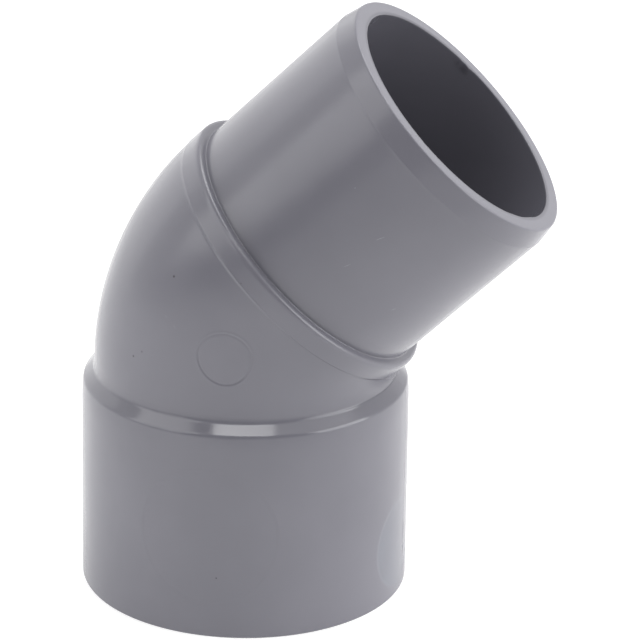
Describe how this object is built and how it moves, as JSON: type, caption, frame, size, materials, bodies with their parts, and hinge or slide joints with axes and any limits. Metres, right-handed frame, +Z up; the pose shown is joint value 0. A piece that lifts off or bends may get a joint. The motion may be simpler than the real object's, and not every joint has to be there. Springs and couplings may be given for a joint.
{
  "type": "pipe elbow",
  "caption": "Street elbow for plastic pipe: a plain cement socket, a short round bend and a collared spigot leaning at 45 degrees, in satin grey PVC.",
  "frame": {"origin": "middle of the bounding box in X and Y, at the level of the socket's mouth, which the fitting stands on; the socket's own axis is 9.81 mm towards -X", "axes": "+Z up along the socket's axis, out of its closed end; the spigot leans 45 degrees from +Z towards +X; +Y is across the plane of the bend"},
  "size_m": [0.0659, 0.0462, 0.0843],
  "materials": {
    "grey_pvc": "satin, as moulded"
  },
  "bodies": {
    "root": {"socket_barrel": "grey_pvc", "socket_shoulder": "grey_pvc", "bend_tube": "grey_pvc", "stop_collar": "grey_pvc", "spigot_tube": "grey_pvc", "spigot_lead_in": "grey_pvc"}
  },
  "joints": []
}
